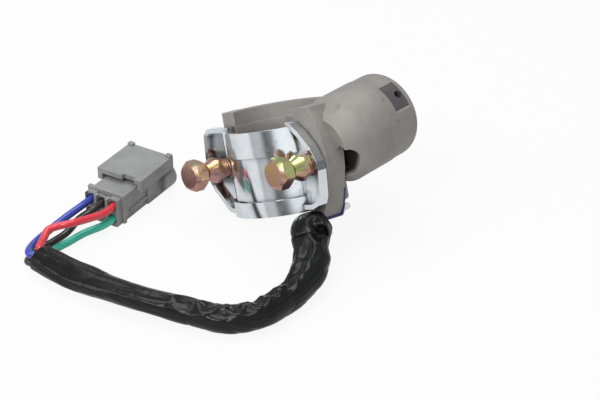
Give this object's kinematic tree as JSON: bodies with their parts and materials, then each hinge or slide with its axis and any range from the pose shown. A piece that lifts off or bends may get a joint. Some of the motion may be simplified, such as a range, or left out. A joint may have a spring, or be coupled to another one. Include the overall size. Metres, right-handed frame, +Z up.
{
  "type": "ignition switch",
  "caption": "Ignition switch in a cast steering lock: key barrel, column saddle with a bolted strap, shear bolts and a sleeved wiring lead that ends in a connector.",
  "frame": {"origin": "on the axis of the steering column that the clamp holds, in the plane across it through the two clamp bolts", "axes": "+X along the key axis toward the key end, +Z up with the wiring lead lying level, +Y to the side of the connector"},
  "size_m": [0.1513, 0.1317, 0.0652],
  "materials": {
    "casting": "cast, matte",
    "zinc_sheet": "bright zinc plate",
    "chromate": "yellow iridescent passivate",
    "black_plastic": "matte",
    "blue_plastic": "satin",
    "white_plastic": "satin",
    "grey_plastic": "satin",
    "brass": "stamped",
    "steel": "machined",
    "pvc": "glossy, wrinkled",
    "wire_red": "satin",
    "wire_blue": "satin",
    "wire_green": "satin",
    "wire_black": "satin"
  },
  "bodies": {
    "housing": {"lock_housing": "casting", "column_strap": "zinc_sheet", "shear_bolts": "chromate", "retainer_block": "black_plastic", "cylinder_sleeve": "casting", "face_ring": "black_plastic", "return_spring": "steel", "switch_body": "blue_plastic", "contact_base": "blue_plastic", "contact_strips": "brass", "switch_peg": "white_plastic", "switch_screw": "steel", "sleeve": "pvc", "wire_red": "wire_red", "wire_blue": "wire_blue", "wire_green": "wire_green", "wire_black": "wire_black", "connector_housing": "grey_plastic", "connector_hood": "grey_plastic", "connector_terminals": "brass"},
    "rotor": {"lock_plug": "steel", "tumblers": "brass", "driver_shaft": "steel", "switch_rotor": "black_plastic", "contact_arm": "brass"},
    "lock_bolt_body": {"lock_bolt": "steel"}
  },
  "joints": [
    {"name": "key_turn", "type": "hinge", "parent": "housing", "child": "rotor", "pos_m": [0.02, -0.02208, 0.01557], "axis": [1, 0, 0], "range_deg": [-80, 30]},
    {"name": "lock_bolt_slide", "type": "slide", "parent": "housing", "child": "lock_bolt_body", "axis": [0, -0.9135, 0.4067], "range_m": [-0.00382, 0.00144]}
  ],
  "couplings": [
    {"joint": "lock_bolt_slide", "follows": "key_turn", "m_per_rad": 0.0027307}
  ]
}
